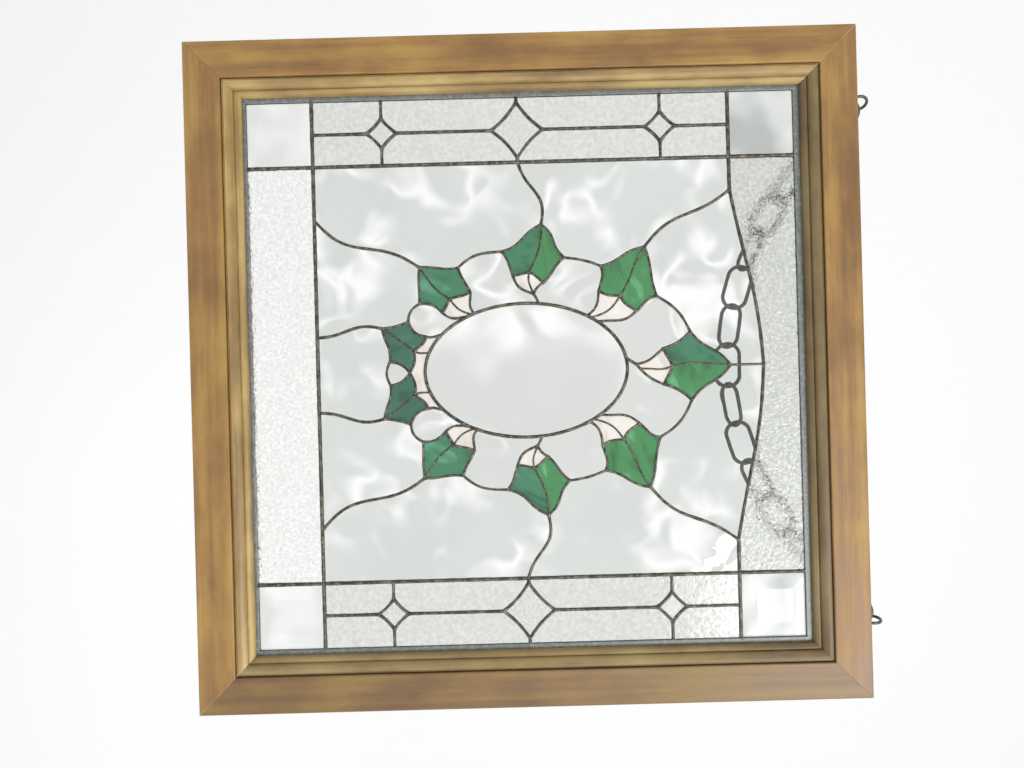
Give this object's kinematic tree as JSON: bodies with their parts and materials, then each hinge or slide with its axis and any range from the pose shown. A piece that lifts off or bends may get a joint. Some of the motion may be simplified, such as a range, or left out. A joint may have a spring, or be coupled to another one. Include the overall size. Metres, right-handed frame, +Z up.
{
  "type": "stained glass window panel",
  "caption": "Square stained glass hanging panel in a stained wood frame: a leaf wreath round a clear oval, with bevelled corners, diamond side bands and a hanging chain.",
  "frame": {"origin": "middle of the top rail's back face, where the frame lies against a wall or a window behind it", "axes": "+Z up, +X to the viewer's right, the front of the window faces -Y"},
  "size_m": [0.61, 0.0662, 0.6295],
  "materials": {
    "stained_wood": "satin",
    "bare_wood": "matte",
    "solder": "satin",
    "clear_glass": "polished",
    "rippled_glass": "gloss",
    "textured_glass": "satin",
    "green_glass": "gloss",
    "cream_glass": "gloss",
    "dark_steel": "satin"
  },
  "bodies": {
    "root": {"frame_top": "stained_wood", "frame_right": "stained_wood", "frame_bottom": "stained_wood", "frame_left": "stained_wood", "moulding_top": "stained_wood", "moulding_right": "stained_wood", "moulding_bottom": "stained_wood", "moulding_left": "stained_wood", "back_stop": "bare_wood", "lead_lines": "solder", "oval_glass": "clear_glass", "top_strip_glass": "textured_glass", "bottom_strip_glass": "textured_glass", "leaf_top": "green_glass", "petals_top": "cream_glass", "petals_bottom": "cream_glass", "clear_wedge_bottom": "clear_glass", "field_bottom": "rippled_glass", "leaf_upper_left": "green_glass", "leaf_side_left": "green_glass", "leaf_lower_left": "green_glass", "leaf_bottom_left": "green_glass", "petals_upper_left": "cream_glass", "petals_side_left": "cream_glass", "petals_lower_left": "cream_glass", "clear_top_left": "clear_glass", "clear_upper_left": "clear_glass", "clear_side_left": "clear_glass", "clear_lower_left": "clear_glass", "field_top_left": "rippled_glass", "field_upper_left": "rippled_glass", "field_side_left": "rippled_glass", "field_lower_left": "rippled_glass", "band_lower_left": "clear_glass", "band_upper_left": "clear_glass", "corner_bevel_upper_left": "clear_glass", "corner_bevel_lower_left": "clear_glass", "leaf_upper_right": "green_glass", "leaf_side_right": "green_glass", "leaf_lower_right": "green_glass", "leaf_bottom_right": "green_glass", "petals_upper_right": "cream_glass", "petals_side_right": "cream_glass", "petals_lower_right": "cream_glass", "clear_top_right": "clear_glass", "clear_upper_right": "clear_glass", "clear_side_right": "clear_glass", "clear_lower_right": "clear_glass", "field_top_right": "rippled_glass", "field_upper_right": "rippled_glass", "field_side_right": "rippled_glass", "field_lower_right": "rippled_glass", "band_lower_right": "clear_glass", "band_upper_right": "clear_glass", "corner_bevel_upper_right": "clear_glass", "corner_bevel_lower_right": "clear_glass", "screw_eye_left": "dark_steel", "screw_eye_right": "dark_steel", "hanging_chain": "dark_steel"}
  },
  "joints": []
}
